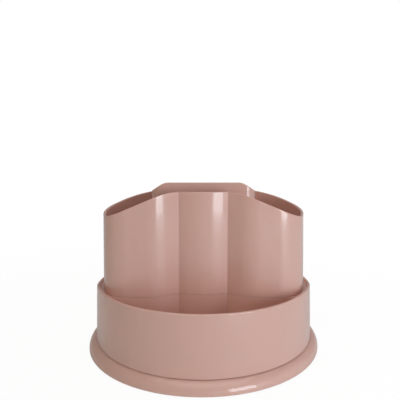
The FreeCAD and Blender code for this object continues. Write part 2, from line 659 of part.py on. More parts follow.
def build_drawer(side):
    """Drawer with a front that carries on the drum's round wall."""
    gap, wall, back, top = "<drawer_clearance>", "<drawer_wall>", DRAWER_BACK, DRAWER_FRONT_TOP
    shape = common(f"drawer_{side}_blank",
                   drawer_block(f"drawer_{side}_block", side, gap, "0", back, DRAWER_BOTTOM, top),
                   drum_cone(f"drawer_{side}_reach", FLOOR_TOP, OPENING_HEAD))
    inside = drum_cone(f"drawer_{side}_inside", FLOOR_TOP, OPENING_HEAD, "<drum_wall>")
    hollow = common(f"drawer_{side}_hollow", inside,
                    drawer_block(f"drawer_{side}_space", side, gap, wall, f"{back} + {wall}",
                                 f"{DRAWER_BOTTOM} + {wall}", top))
    head_room = common(f"drawer_{side}_head_room", inside,
                       drawer_block(f"drawer_{side}_over", side, "0", "0", f"{back} - {wall}",
                                    DRAWER_SIDE_TOP, top))
    middle = f"({'-' if side == 'left' else ''}({DRAWER_INNER} + {DRAWER_WIDTH} / 2))"
    pull_top = "(<pull_height> + <pull_thickness>)"
    root = f"({drum_radius('<pull_height>')} - <drum_wall> / 2)"
    ring = cut(f"pull_{side}_ring",
               cylinder(f"pull_{side}_outside", "<drum_foot_radius> + <pull_reach>", "<pull_thickness>",
                        ("0", "0", "<pull_height>")),
               cylinder(f"pull_{side}_root", root, "<pull_thickness>", ("0", "0", "<pull_height>")))
    block = common(f"pull_{side}_blank", ring,
                   box(f"pull_{side}_block", (f"{middle} - <pull_width> / 2", "0", "<pull_height>"),
                       (f"{middle} + <pull_width> / 2", f"{FOOT_RADIUS} + <pull_reach>", pull_top)))
    outside = value("<drum_foot_radius> + <pull_reach> / 2")
    pull = dress("Part::Fillet", f"pull_{side}", block, "<pull_round>",
                 lambda edge, at: math.hypot(at.x, at.y) > outside)
    return fuse(f"drawer_{side}", cut(f"drawer_{side}_tray", shape, hollow, head_room), pull)


# --- Cup block.
def cup_cone(name, inset, low, high):
    """Tapered round wall of the cup block between two heights."""
    def radius(height):
        return f"({CUP_FOOT_RADIUS} - ({height} - <deck_height>) * tan(<cup_draft> * 1deg) - {inset})"
    return cone(name, radius(low), radius(high), f"({high}) - ({low})", low)


def front_rim(x):
    """Height of the front rim: a level middle, a round shoulder, a slope and level ends."""
    slope = math.radians(value("<rim_slope>"))
    radius = value("<rim_shoulder_radius>")
    run = max(abs(x) - value("<rim_flat>"), 0.0)
    bend = radius * math.sin(slope)
    if run < bend:
        drop = radius - math.sqrt(radius**2 - run**2)
    else:
        drop = radius * (1 - math.cos(slope)) + (run - bend) * math.tan(slope)
    crown = value("<rim_front_height>") - drop
    end = value("<rim_end_height>")
    soft = value("<rim_end_blend>")
    return (crown + end + math.hypot(crown - end, soft)) / 2


def rear_rim(x):
    """Height of the rear rim: one large arc."""
    radius = value("<rim_rear_radius>")
    return value("<rim_rear_height>") - radius + math.sqrt(radius**2 - x**2)


def well_rim(x):
    """Height of the tall well's front wall: a level top with an S-shaped fall on each side."""
    share = min(max((abs(x) - value("<well_flat>")) / value("<well_fall_width>"), 0.0), 1.0)
    return value("<well_height>") - value("<well_fall>") * (1 - math.cos(math.pi * share)) / 2


RIM_STATIONS = 40


def space_above(name, front_y, front_height, rear_y, rear_height):
    """Solid above the ruled surface between a front and a rear height curve."""
    reach = value(CUP_FOOT_RADIUS) + value("<cup_wall>")
    curves = []
    for y, height in ((front_y, front_height), (rear_y, rear_height)):
        stations = [reach * (2 * step / RIM_STATIONS - 1) for step in range(RIM_STATIONS + 1)]
        curve = Part.BSplineCurve()
        curve.interpolate([Vector(x, y, height(x)) for x in stations])
        curves.append(curve.toShape())
    surface = Part.makeRuledSurface(*curves)
    thing = doc.addObject("Part::Feature", name)
    thing.Shape = surface.extrude(Vector(0, 0, value("<well_height>")))
    return thing


def build_cups():
    """Block of cups: lobed front, round rear wall, tall well and two short partitions."""
    outline = common("cup_outline", cup_cone("cup_round", "0", "<deck_height>", CUP_TOP),
                     lobes("cup_lobes", "0", "<deck_height>", CUP_HEIGHT))
    corner_x, corner_y = value("<side_flat_start> + <cup_wall>"), value("<cup_corner_round> - <side_front>")

    def at_corner(edge, at):
        return is_upright(edge) and at.y < corner_y and abs(at.x) > corner_x

    outside = dress("Part::Fillet", "cup_outside", outline, "<cup_corner_round>", at_corner)
    floor_top = "(<deck_height> + <cup_floor>)"
    hollow = common("cup_hollow", cup_cone("cup_inner_round", "<cup_wall>", floor_top, CUP_TOP),
                    lobes("cup_inner_lobes", "<cup_wall>", floor_top, f"{CUP_TOP} - {floor_top}"))
    inside = dress("Part::Fillet", "cup_inside", hollow, "<cup_corner_round> - <cup_wall>", at_corner)
    rear = value(CUP_FOOT_RADIUS)
    rim_space = space_above("rim_space", -value("<side_front>"), front_rim, rear, rear_rim)
    shell = cut("cup_shell", outside, inside, rim_space)
    partitions = common("partitions", build_partitions(), cup_cone("partition_reach", "<cup_wall> / 2",
                                                                  "<deck_height>", CUP_TOP))
    full = fuse("cup_full", shell, partitions, *cup_bosses())
    pilots = [cylinder(f"cup_pilot_{index}", SCREW_PILOT, f"<screw_length> - <deck_thickness>",
                       (*place, "<deck_height>")) for index, place in enumerate(CUP_SCREW_PLACES)]
    return cut("cup_block", full, *pilots)


def cup_bosses():
    """Low bosses on the cup floor that the cup screws bite into."""
    height = "(<screw_length> - <deck_thickness> + <cup_floor>)"
    return [cylinder(f"cup_boss_{index}", "<boss_radius>", height, (*place, "<deck_height>"))
            for index, place in enumerate(CUP_SCREW_PLACES)]


def build_partitions():
    """Tall well and the two short partitions from its front wall to the grooves."""
    def rounded_box(name, inset, radius):
        half = f"(<well_half_width> - {inset})"
        blank = box(f"{name}_blank", (f"-{half}", f"-<well_front> + {inset}", "<deck_height>"),
                    (half, FOOT_RADIUS, CUP_TOP))
        return dress("Part::Fillet", name, blank, radius,
                     lambda edge, at: is_upright(edge) and at.y < 0)
    well = cut("well_walls", rounded_box("well_outside", "0", "<well_corner_round>"),
               rounded_box("well_inside", "<cup_wall>", "<well_corner_round> - <cup_wall>"),
               space_above("well_space", -value("<well_front>"), well_rim, value(CUP_FOOT_RADIUS), rear_rim))
    short = []
    (offset, front), rear = groove("<cup_wall> / 2"), "-<well_front> + <cup_wall> / 2"
    for side, sign in (("left", "-"), ("right", "")):
        middle = f"({sign}{offset})"
        short.append(box(f"partition_{side}", (f"{middle} - <cup_wall> / 2", front, "<deck_height>"),
                         (f"{middle} + <cup_wall> / 2", rear, "<partition_height>")))
    return fuse("inner_walls", well, *short)


def check(objects):
    """Stops on any object that failed and on any sub-part whose shape is unsound."""
    for thing in doc.Objects:
        if {"Invalid", "Error"} & set(thing.State):
            raise RuntimeError(f"{thing.Name} failed: {thing.State}")
    for thing in objects:
        if thing.Shape.isNull() or not thing.Shape.isValid():
            raise RuntimeError(f"{thing.Name} has no sound shape")


def main():
    """Builds every sub-part and writes one file for each."""
    subparts = [
        build_foot(), build_pads(), build_bush(), build_washer(), build_pivot_screw(),
        group("bearing_balls", *bearing_spheres("ball", "<ball_radius>")), build_cage(),
        build_drum_shell(), build_drum_floor(), build_floor_screws(), build_cup_screws(),
        build_cups(), build_drawer("left"), build_drawer("right"),
    ]
    doc.recompute()
    for thing in subparts:
        thing.Label = thing.Name
    check(subparts)
    os.makedirs("parts", exist_ok=True)
    for thing in subparts:
        thing.Shape.exportStep(f"parts/{thing.Label}.step")
        print(thing.Label, len(thing.Shape.Solids), round(thing.Shape.Volume, 1), thing.Shape.BoundBox)


main()
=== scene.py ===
"""Looks of a rotating desk organizer in glossy moulded plastic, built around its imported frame."""
import logging
import math
from collections.abc import Callable
from dataclasses import dataclass, field
from enum import Enum

import bpy
import numpy as np
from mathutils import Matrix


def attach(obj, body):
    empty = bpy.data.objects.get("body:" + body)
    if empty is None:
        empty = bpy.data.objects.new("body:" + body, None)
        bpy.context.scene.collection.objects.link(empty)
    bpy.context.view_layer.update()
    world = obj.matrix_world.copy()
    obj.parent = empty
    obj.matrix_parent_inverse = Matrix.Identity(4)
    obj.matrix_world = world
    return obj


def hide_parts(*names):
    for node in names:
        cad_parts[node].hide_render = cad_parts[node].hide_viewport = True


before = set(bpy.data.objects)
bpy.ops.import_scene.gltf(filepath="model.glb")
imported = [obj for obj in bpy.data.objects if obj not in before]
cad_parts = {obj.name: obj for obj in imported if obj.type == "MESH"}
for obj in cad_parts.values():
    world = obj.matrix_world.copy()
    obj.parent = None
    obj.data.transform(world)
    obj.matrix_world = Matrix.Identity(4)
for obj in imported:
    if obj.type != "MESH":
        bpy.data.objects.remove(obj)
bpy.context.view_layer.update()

LOG = logging.getLogger("desk_organizer")
MM = 0.001
SHARP_ANGLE = math.radians(42.0)
SMALLEST_DIVISOR = 1e-6
SPECK_SHARE = 0.5
SMUDGE_SHARE = 0.6
SCUFF_STRETCH = (1.0, 1.0, 0.12)
WAVE_STRETCH = (1.0, 1.0, 0.45)


class Direction(Enum):
    """Which way a shader group's socket faces."""

    INPUT = "INPUT"
    OUTPUT = "OUTPUT"


class Side(Enum):
    """The mirrored halves of the cup block, by the sign of x."""

    LEFT = -1
    RIGHT = 1


# --------------------------------------------------------------------------- shader groups


@dataclass
class GroupBuilder:
    """Small helper that wires one shader node group with named sockets."""

    name: str
    tree: bpy.types.ShaderNodeTree = field(init=False)
    entry: bpy.types.Node = field(init=False)
    leave: bpy.types.Node = field(init=False)

    def __post_init__(self) -> None:
        """Creates the empty group with its two end nodes."""
        self.tree = bpy.data.node_groups.new(self.name, "ShaderNodeTree")
        self.entry = self.tree.nodes.new("NodeGroupInput")
        self.leave = self.tree.nodes.new("NodeGroupOutput")

    def socket(self, name: str, direction: Direction, kind: str = "NodeSocketFloat",
               default: float | tuple[float, ...] | None = None) -> None:
        """Adds a named input or output.

        Args:
            name: socket name.
            direction: which way it faces.
            kind: socket type.
            default: value that the socket starts with, or None.
        """
        made = self.tree.interface.new_socket(name, in_out=direction.value, socket_type=kind)
        if default is not None:
            made.default_value = default

    def node(self, kind: str, **values) -> bpy.types.Node:
        """Adds a node and sets its properties.

        Args:
            kind: node type name.
            **values: property values.

        Returns:
            The new node.
        """
        made = self.tree.nodes.new(kind)
        for key, value in values.items():
            setattr(made, key, value)
        return made

    def link(self, source: bpy.types.NodeSocket, target: bpy.types.NodeSocket) -> None:
        """Joins two sockets."""
        self.tree.links.new(source, target)

    def noise(self, scale: str, place: bpy.types.NodeSocket, detail: float,
              stretch: tuple[float, float, float] = (1.0, 1.0, 1.0)) -> bpy.types.NodeSocket:
        """Adds noise on a place vector that is stretched first.

        Args:
            scale: name of the group's input with the noise scale.
            place: socket with the place vector.
            detail: octaves of the noise.
            stretch: factors on the three axes of the place.

        Returns:
            The noise value socket.
        """
        mapping = self.node("ShaderNodeMapping")
        mapping.inputs["Scale"].default_value = stretch
        self.link(place, mapping.inputs["Vector"])
        noise = self.node("ShaderNodeTexNoise")
        noise.inputs["Detail"].default_value = detail
        self.link(mapping.outputs["Vector"], noise.inputs["Vector"])
        self.link(self.entry.outputs[scale], noise.inputs["Scale"])
        return noise.outputs["Fac"]

    def ramp(self, value: bpy.types.NodeSocket, low: float, high: float) -> bpy.types.NodeSocket:
        """Maps a value from the span low..high to 0..1, clamped.

        Args:
            value: socket with the value.
            low: value that becomes 0.
            high: value that becomes 1.

        Returns:
            The mapped value socket.
        """
        made = self.node("ShaderNodeMapRange")
        made.inputs["From Min"].default_value = low
        made.inputs["From Max"].default_value = high
        self.link(value, made.inputs["Value"])
        return made.outputs["Result"]

    def math(self, operation: str, first: bpy.types.NodeSocket,
             second: bpy.types.NodeSocket | float) -> bpy.types.NodeSocket:
        """Combines two values.

        Args:
            operation: MULTIPLY, ADD and so on.
            first: socket with the first value.
            second: socket or number with the second value.

        Returns:
            The result socket.
        """
        made = self.node("ShaderNodeMath", operation=operation)
        self.link(first, made.inputs[0])
        if isinstance(second, float):
            made.inputs[1].default_value = second
        else:
            self.link(second, made.inputs[1])
        return made.outputs["Value"]


def pigment_group() -> bpy.types.ShaderNodeTree:
    """Pigment clouds: two noises at different scales mix a base colour with a deeper one.

    Returns:
        The node group.
    """
    group = GroupBuilder("pigment_clouds")
    for name, kind, value in (("Colour", "NodeSocketColor", (0.5, 0.5, 0.5, 1.0)),
                              ("Deep Colour", "NodeSocketColor", (0.4, 0.4, 0.4, 1.0)),
                              ("Cloud Scale", "NodeSocketFloat", 14.0),
                              ("Speck Scale", "NodeSocketFloat", 900.0),
                              ("Amount", "NodeSocketFloat", 0.2)):
        group.socket(name, Direction.INPUT, kind, value)
    group.socket("Colour", Direction.OUTPUT, "NodeSocketColor")
    place = group.node("ShaderNodeTexCoord").outputs["Object"]
    clouds = group.ramp(group.noise("Cloud Scale", place, detail=3.0), low=0.35, high=0.65)
    specks = group.ramp(group.noise("Speck Scale", place, detail=1.0), low=0.55, high=0.75)
    both = group.math("ADD", clouds, group.math("MULTIPLY", specks, SPECK_SHARE))
    share = group.math("MULTIPLY", both, group.entry.outputs["Amount"])
    mix = group.node("ShaderNodeMix", data_type="RGBA")
    group.link(share, mix.inputs["Factor"])
    group.link(group.entry.outputs["Colour"], mix.inputs["A"])
    group.link(group.entry.outputs["Deep Colour"], mix.inputs["B"])
    group.link(mix.outputs["Result"], group.leave.inputs["Colour"])
    return group.tree


def gloss_group() -> bpy.types.ShaderNodeTree:
    """Worn gloss: fine upright scuffs and smudges raise the roughness from its polished value.

    Returns:
        The node group.
    """
    group = GroupBuilder("worn_gloss")
    for name, value in (("Polished", 0.2), ("Scuffed", 0.4),
                        ("Smudge Scale", 30.0), ("Scuff Scale", 160.0)):
        group.socket(name, Direction.INPUT, default=value)
    group.socket("Roughness", Direction.OUTPUT)
    place = group.node("ShaderNodeTexCoord").outputs["Object"]
    smudge = group.ramp(group.noise("Smudge Scale", place, detail=4.0), low=0.4, high=0.75)
    streaks = group.noise("Scuff Scale", place, detail=2.0, stretch=SCUFF_STRETCH)
    scuff = group.ramp(streaks, low=0.55, high=0.8)
    share = group.math("MAXIMUM", group.math("MULTIPLY", smudge, SMUDGE_SHARE), scuff)
    gain = group.math("SUBTRACT", group.entry.outputs["Scuffed"], group.entry.outputs["Polished"])
    rise = group.math("MULTIPLY", share, gain)
    total = group.math("ADD", rise, group.entry.outputs["Polished"])
    group.link(total, group.leave.inputs["Roughness"])
    return group.tree


def ripple_group() -> bpy.types.ShaderNodeTree:
    """Mould ripple: slow waves that bend reflections, with a fine grain on top, as a height.

    Returns:
        The node group.
    """
    group = GroupBuilder("mould_ripple")
    for name, value in (("Wave Scale", 25.0), ("Grain Scale", 1500.0), ("Grain Share", 0.05)):
        group.socket(name, Direction.INPUT, default=value)
    group.socket("Height", Direction.OUTPUT)
    place = group.node("ShaderNodeTexCoord").outputs["Object"]
    wave = group.noise("Wave Scale", place, detail=1.0, stretch=WAVE_STRETCH)
    grain = group.noise("Grain Scale", place, detail=2.0)
    fine = group.math("MULTIPLY", grain, group.entry.outputs["Grain Share"])
    total = group.math("ADD", wave, fine)
    group.link(total, group.leave.inputs["Height"])
    return group.tree


@dataclass(frozen=True)
class Effects:
    """Shader groups shared by the finishes."""

    pigment: bpy.types.ShaderNodeTree
    gloss: bpy.types.ShaderNodeTree
    ripple: bpy.types.ShaderNodeTree


# --------------------------------------------------------------------------- finishes


@dataclass(frozen=True)
class Finish:
    """One procedural finish: pigment clouds, worn gloss and mould ripple on a Principled shader."""

    name: str
    colour: tuple[float, float, float]
    deep_colour: tuple[float, float, float]
    cloud_scale: float = 14.0
    speck_scale: float = 900.0
    cloud_amount: float = 0.25
    polished: float = 0.2
    scuffed: float = 0.35
    smudge_scale: float = 30.0
    scuff_scale: float = 160.0
    wave_scale: float = 25.0
    grain_scale: float = 1500.0
    grain_share: float = 0.05
    bump_height: float = 0.0004
    bump_strength: float = 0.3
    metallic: float = 0.0
    coat: float = 0.0
    coat_roughness: float = 0.1
    glow: float = 0.0
    glow_radius: tuple[float, float, float] = (0.006, 0.002, 0.0015)

    def build(self, effects: Effects) -> bpy.types.Material:
        """Makes the material.

        Args:
            effects: shared shader groups.

        Returns:
            The material.
        """
        material = bpy.data.materials.new(self.name)
        material.use_nodes = True
        tree = material.node_tree
        shader = tree.nodes["Principled BSDF"]
        shader.inputs["Metallic"].default_value = self.metallic
        shader.inputs["Coat Weight"].default_value = self.coat
        shader.inputs["Coat Roughness"].default_value = self.coat_roughness
        shader.inputs["Subsurface Weight"].default_value = self.glow
        shader.inputs["Subsurface Radius"].default_value = self.glow_radius
        shader.inputs["Subsurface Scale"].default_value = 1.0

        pigment = self.place_group(tree, effects.pigment, {
            "Colour": (*self.colour, 1.0), "Deep Colour": (*self.deep_colour, 1.0),
            "Cloud Scale": self.cloud_scale, "Speck Scale": self.speck_scale,
            "Amount": self.cloud_amount})
        tree.links.new(pigment.outputs["Colour"], shader.inputs["Base Color"])
        gloss = self.place_group(tree, effects.gloss, {
            "Polished": self.polished, "Scuffed": self.scuffed,
            "Smudge Scale": self.smudge_scale, "Scuff Scale": self.scuff_scale})
        tree.links.new(gloss.outputs["Roughness"], shader.inputs["Roughness"])
        ripple = self.place_group(tree, effects.ripple, {
            "Wave Scale": self.wave_scale, "Grain Scale": self.grain_scale,
            "Grain Share": self.grain_share})
        bump = tree.nodes.new("ShaderNodeBump")
        bump.inputs["Strength"].default_value = self.bump_strength
        bump.inputs["Distance"].default_value = self.bump_height
        tree.links.new(ripple.outputs["Height"], bump.inputs["Height"])
        tree.links.new(bump.outputs["Normal"], shader.inputs["Normal"])
        return material

    @staticmethod
    def place_group(tree: bpy.types.ShaderNodeTree, group: bpy.types.ShaderNodeTree,
                    values: dict[str, float | tuple[float, ...]]) -> bpy.types.Node:
        """Puts a shared group into a material with this finish's values.

        Args:
            tree: the material's node tree.
            group: the shared group.
            values: input name to value.

        Returns:
            The group node.
        """
        node = tree.nodes.new("ShaderNodeGroup")
        node.node_tree = group
        for name, value in values.items():
            node.inputs[name].default_value = value
        return node


PINK_MOULDING = Finish(
    name="dusty_pink_moulding", colour=(0.745, 0.46, 0.39), deep_colour=(0.685, 0.41, 0.345),
    polished=0.34, scuffed=0.42, coat=0.75, coat_roughness=0.05, glow=0.4,
    glow_radius=(0.002, 0.0015, 0.0013), wave_scale=80.0, bump_height=0.0011, bump_strength=0.6)
BLACK_RUBBER = Finish(
    name="black_rubber", colour=(0.022, 0.022, 0.024), deep_colour=(0.05, 0.05, 0.05),
    polished=0.75, scuffed=0.92, grain_share=0.6, bump_strength=0.5)
PLATED_STEEL = Finish(
    name="plated_steel", colour=(0.62, 0.62, 0.60), deep_colour=(0.45, 0.44, 0.42),
    polished=0.28, scuffed=0.5, metallic=1.0, scuff_scale=600.0)
POLISHED_STEEL = Finish(
    name="polished_ball_steel", colour=(0.72, 0.72, 0.73), deep_colour=(0.58, 0.58, 0.6),
    polished=0.06, scuffed=0.18, metallic=1.0, bump_strength=0.05)
NATURAL_PLASTIC = Finish(
    name="natural_acetal", colour=(0.78, 0.76, 0.70), deep_colour=(0.70, 0.67, 0.60),
    polished=0.38, scuffed=0.52, glow=0.1)


# --------------------------------------------------------------------------- mesh helpers


def grid_faces(rows: int, columns: int, close_rows: bool, close_columns: bool) -> np.ndarray:
    """Quads of a grid of points, wrapped round where a direction closes on itself.

    Args:
        rows: points along the first direction.
        columns: points along the second direction.
        close_rows: whether the last row joins the first.
        close_columns: whether the last column joins the first.

    Returns:
        Corner indices, four to a row.
    """
    down = np.arange(rows if close_rows else rows - 1)
    along = np.arange(columns if close_columns else columns - 1)
    first, second = np.meshgrid(down, along, indexing="ij")
    below, beside = (first + 1) % rows, (second + 1) % columns
    corners = (first * columns + second, below * columns + second,
               below * columns + beside, first * columns + beside)
    return np.stack([corner.ravel() for corner in corners], axis=1)


def mesh_object(name: str, points: np.ndarray, faces: list[list[int]],
                smooth: bool = True) -> bpy.types.Object:
    """Object at the origin from points in millimetres.

    Args:
        name: object name.
        points: point places, three to a row, in millimetres.
        faces: corner indices of each face.
        smooth: whether faces are shaded smooth.

    Returns:
        The object, linked into the scene.
    """
    mesh = bpy.data.meshes.new(name)
    mesh.from_pydata((points * MM).tolist(), [], faces)
    mesh.validate()
    mesh.polygons.foreach_set("use_smooth", [smooth] * len(mesh.polygons))
    if smooth:
        mesh.set_sharp_from_angle(angle=SHARP_ANGLE)
    mesh.update()
    made = bpy.data.objects.new(name, mesh)
    bpy.context.scene.collection.objects.link(made)
    return made


def rim_section(steps: int = 13, power: float = 0.5) -> tuple[np.ndarray, np.ndarray]:
    """Half of a squared circle: how a moulded wall rounds over at its rim.

    The across value runs from -1 at one face to 1 at the other and the rise from 0 to 1 and back:
    each is a cosine or sine with its size raised to a power below one.

    Args:
        steps: points along the half circle.
        power: the power, 1 for a true circle and less for a squarer one.

    Returns:
        The across values and the rises.
    """
    turn = np.linspace(0.0, math.pi, steps)
    across = -np.sign(np.cos(turn)) * np.abs(np.cos(turn)) ** power
    rise = np.abs(np.sin(turn)) ** power
    return across, rise


# --------------------------------------------------------------------------- cup block


@dataclass
class CupBlock:
    """Lobed block of cups: outer wall, tall well, two partitions and a floor.

    Sizes are in millimetres and radians.  The counts of sections, rows and steps say how finely
    each surface is divided.
    """

    deck_height: float = 54.0
    wall: float = 2.4
    floor: float = 2.5
    foot_radius: float = 91.04
    draft: float = math.radians(1.0)
    centre_lobe_radius: float = 44.5
    centre_lobe_front: float = 40.2
    side_front: float = 46.3
    side_flat_start: float = 47.0
    flank_round: float = 31.0
    flank_angle: float = math.radians(33.0)
    groove_softness: float = 0.5
    corner_round: float = 24.0
    rim_front_height: float = 141.9
    rim_end_height: float = 118.3
    rim_flat: float = 17.5
    rim_shoulder_radius: float = 55.0
    rim_slope: float = math.radians(23.3)
    rim_end_blend: float = 1.4
    rim_rear_height: float = 134.6
    rim_rear_radius: float = 900.0
    rim_round: float = 0.9
    well_half_width: float = 46.0
    well_front: float = 19.2
    well_corner_round: float = 9.0
    well_height: float = 148.0
    well_flat: float = 31.0
    well_fall_width: float = 21.0
    well_fall: float = 9.6
    partition_height: float = 140.0
    seam_chamfer: float = 0.35
    even_sections: int = 480
    groove_sections: int = 25
    groove_spread: float = 0.03
    flank_sections: int = 26
    corner_sections: int = 64
    corner_margin: float = 0.02
    angle_digits: int = 5
    wall_rows: int = 12
    edge_share: float = 0.004
    well_side_steps: int = 24
    well_turn_steps: int = 17
    well_front_steps: int = 60
    partition_steps: int = 8
    body: str = "drum"
    node: str = "cup_block"

    def flank_end(self, inset: float) -> tuple[float, float]:
        """Place where the right-hand flank starts: the end of the round that turns into it.

        Args:
            inset: how far the outline is drawn in.

        Returns:
            Its x and y.
        """
        bend = self.flank_round - inset
        return (self.side_flat_start - bend * math.sin(self.flank_angle),
                self.flank_round - self.side_front - bend * math.cos(self.flank_angle))

    @staticmethod
    def circle_reach(across: np.ndarray, along: np.ndarray, x: np.ndarray | float, y: float,
                     radius: float) -> np.ndarray:
        """Distance from the axis to the far side of a circle.

        It is the centre's share of the direction plus the root of the radius squared less the
        squared offset of the centre from the ray.

        Args:
            across: x of each unit direction.
            along: y of each unit direction.
            x: x of the centre.
            y: y of the centre.
            radius: radius of the circle.

        Returns:
            The distances.
        """
        share = across * x + along * y
        return share + np.sqrt(np.maximum(radius**2 - x * x - y * y + share**2, 0.0))

    def lobe_reach(self, angle: np.ndarray, inset: float) -> np.ndarray:
        """Distance from the axis to the lobed front: the farther of the middle and the side lobe.

        The side lobe is a straight flank, a round and a flat front, each over its own span of
        directions.  A soft maximum rounds the groove between the lobes.

        Args:
            angle: directions in radians.
            inset: how far the outline is drawn in.

        Returns:
            The distances, very large where no lobe bounds the block.
        """
        across, along = np.abs(np.cos(angle)), np.sin(angle)
        turned = np.arctan2(along, across)
        middle_y = self.centre_lobe_radius - self.centre_lobe_front
        middle = self.circle_reach(across, along, 0.0, middle_y, self.centre_lobe_radius - inset)
        end_x, end_y = self.flank_end(inset)
        sine, cosine = math.sin(self.flank_angle), math.cos(self.flank_angle)
        facing = np.maximum(-(across * sine + along * cosine), SMALLEST_DIVISOR)
        flank = -(end_x * sine + end_y * cosine) / facing
        bend_x, bend_y = self.side_flat_start, self.flank_round - self.side_front
        bend = self.circle_reach(across, along, bend_x, bend_y, self.flank_round - inset)
        front = (self.side_front - inset) / np.maximum(-along, SMALLEST_DIVISOR)
        on_flank = turned < math.atan2(end_y, end_x)
        on_bend = turned < math.atan2(inset - self.side_front, self.side_flat_start)
        side = np.where(on_flank, flank, np.where(on_bend, bend, front))
        return (middle + side + np.hypot(middle - side, self.groove_softness)) / 2

    def outline(self, angle: np.ndarray, height: np.ndarray, inset: float) -> np.ndarray:
        """Distance to the wall: lobed front, round front corner or tapered round wall.

        The corner's circle touches the flat front and the round wall, so the three follow on from
        each other without a step.

        Args:
            angle: directions in radians.
            height: heights above the desk.
            inset: how far the wall is drawn in.

        Returns:
            The distances.
        """
        across, along = np.abs(np.cos(angle)), np.sin(angle)
        turned = np.arctan2(along, across)
        tapered = self.foot_radius - (height - self.deck_height) * math.tan(self.draft)
        corner_y = self.corner_round - self.side_front
        corner_x = np.sqrt((tapered - self.corner_round) ** 2 - corner_y**2)
        corner = self.circle_reach(across, along, corner_x, corner_y, self.corner_round - inset)
        lobed = self.lobe_reach(angle, inset)
        on_front = turned < np.arctan2(inset - self.side_front, corner_x)
        on_corner = turned < np.arctan2(corner_y, corner_x)
        return np.where(on_front, lobed, np.where(on_corner, corner, tapered - inset))

    def front_rim(self, x: np.ndarray) -> np.ndarray:
        """Height of the front rim: level middle, round shoulder, straight slope, level ends.

        Args:
            x: places across the block.

        Returns:
            The heights.
        """
        run = np.maximum(np.abs(x) - self.rim_flat, 0.0)
        bend = self.rim_shoulder_radius * math.sin(self.rim_slope)
        curved = self.rim_shoulder_radius - np.sqrt(
            np.maximum(self.rim_shoulder_radius**2 - np.minimum(run, bend) ** 2, 0.0))
        sloped = np.maximum(run - bend, 0.0) * math.tan(self.rim_slope)
        crown = self.rim_front_height - curved - sloped
        end = self.rim_end_height
        return (crown + end + np.hypot(crown - end, self.rim_end_blend)) / 2

    def rear_rim(self, x: np.ndarray) -> np.ndarray:
        """Height of the rear rim: one large arc."""
        radius = self.rim_rear_radius
        return self.rim_rear_height - radius + np.sqrt(radius**2 - x**2)

    def well_rim(self, x: np.ndarray) -> np.ndarray:
        """Height of the well's front wall: level, then half a cosine wave down on each side."""
        share = np.clip((np.abs(x) - self.well_flat) / self.well_fall_width, 0.0, 1.0)
        return self.well_height - self.well_fall * (1 - np.cos(np.pi * share)) / 2

    def blended(self, x: np.ndarray, y: np.ndarray, front: Callable[[np.ndarray], np.ndarray],
                front_y: float) -> np.ndarray:
        """Height of a rim that runs straight from a front curve to the rear curve.

        Args:
            x: places across the block.
            y: places along the block.
            front: height curve at the front.
            front_y: where the front curve stands.

        Returns:
            The heights.
        """
        share = (y - front_y) / (self.foot_radius - front_y)
        return front(x) * (1 - share) + self.rear_rim(x) * share

    def build(self, material: bpy.types.Material) -> list[bpy.types.Object]:
        """Builds every wall of the block.

        Args:
            material: its finish.

        Returns:
            The pieces.
        """
        pieces = [self.outer_wall(), self.well_wall(), self.floor_plate()]
        pieces += [self.partition(side) for side in Side]
        for piece in pieces:
            piece.data.materials.append(material)
            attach(piece, self.body)
            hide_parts(self.node)
        return pieces

    def outer_wall(self) -> bpy.types.Object:
        """Outer wall with its rounded rim and the chamfer that marks the seam.

        Each section runs up the outer face, over the rim and down the inner face; the sections
        stand at angles that crowd towards the grooves and the front corners.

        Returns:
            The piece.
        """
        angle = self.wall_angles()
        even = np.linspace(0.0, 1.0 - self.edge_share, self.wall_rows)[1:]
        levels = np.concatenate([[0.0, self.edge_share], even, [1.0]])
        across, rise = rim_section()
        mid = self.outline(angle, np.full_like(angle, self.rim_front_height), self.wall / 2)
        top = self.blended(mid * np.cos(angle), mid * np.sin(angle), self.front_rim,
                           -self.side_front)
        shoulder = top - self.rim_round
        foot = self.deck_height
        low = np.full_like(angle, foot)
        rows = [(self.outline(angle, low, self.seam_chamfer), low)]
        for level in levels:
            height = foot + self.seam_chamfer + (shoulder - foot - self.seam_chamfer) * level
            rows.append((self.outline(angle, height, 0.0), height))
        for share, up in zip(across[1:-1], rise[1:-1]):
            height = shoulder + self.rim_round * up
            rows.append((self.outline(angle, height, self.wall * (share + 1) / 2), height))
        for level in levels[::-1]:
            height = foot + (shoulder - foot) * level
            rows.append((self.outline(angle, height, self.wall), height))
        radius = np.stack([row[0] for row in rows], axis=1)
        height = np.stack([row[1] for row in rows], axis=1)
        cosine, sine = np.cos(angle)[:, None], np.sin(angle)[:, None]
        points = np.stack([radius * cosine, radius * sine, height], axis=-1)
        faces = grid_faces(*points.shape[:2], close_rows=True, close_columns=True)
        return mesh_object("cup_outer_wall", points.reshape(-1, 3), faces.tolist())

    def groove_place(self, inset: float) -> tuple[float, float]:
        """Place of the right-hand groove, where the straight flank meets the middle lobe.

        The middle lobe's centre is taken apart into its distance along the flank and across it.

        Args:
            inset: how far the outline is drawn in.

        Returns:
            Its x and y.
        """
        start_x, start_y = self.flank_end(inset)
        off_y = start_y - self.centre_lobe_radius + self.centre_lobe_front
        sine, cosine = math.sin(self.flank_angle), math.cos(self.flank_angle)
        along = start_x * cosine - off_y * sine
        across = start_x * sine + off_y * cosine
        step = along - math.sqrt((self.centre_lobe_radius - inset) ** 2 - across**2)
        return start_x - step * cosine, start_y + step * sine

